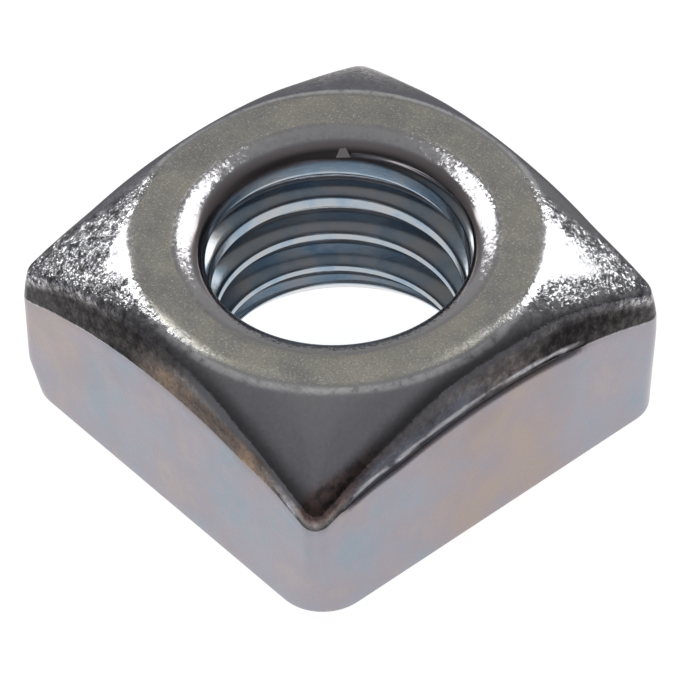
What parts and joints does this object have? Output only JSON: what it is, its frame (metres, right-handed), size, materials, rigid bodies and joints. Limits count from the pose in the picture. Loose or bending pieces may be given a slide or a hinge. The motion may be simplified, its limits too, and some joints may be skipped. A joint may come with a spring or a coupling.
{
  "type": "square nut",
  "caption": "Zinc-plated square nut with a tapped through hole, a round crowned top face and a flat underside that bears on the work.",
  "frame": {"origin": "middle of the flat underside, on the thread's axis", "axes": "+Z along the thread towards the round crowned face, X and Y square to the flats"},
  "size_m": [0.0128, 0.0128, 0.0062],
  "materials": {
    "zinc_plate": "bright zinc plate on pressed steel, satin on the flats and grainy on the crown"
  },
  "bodies": {
    "root": {"square_nut": "zinc_plate"}
  },
  "joints": []
}
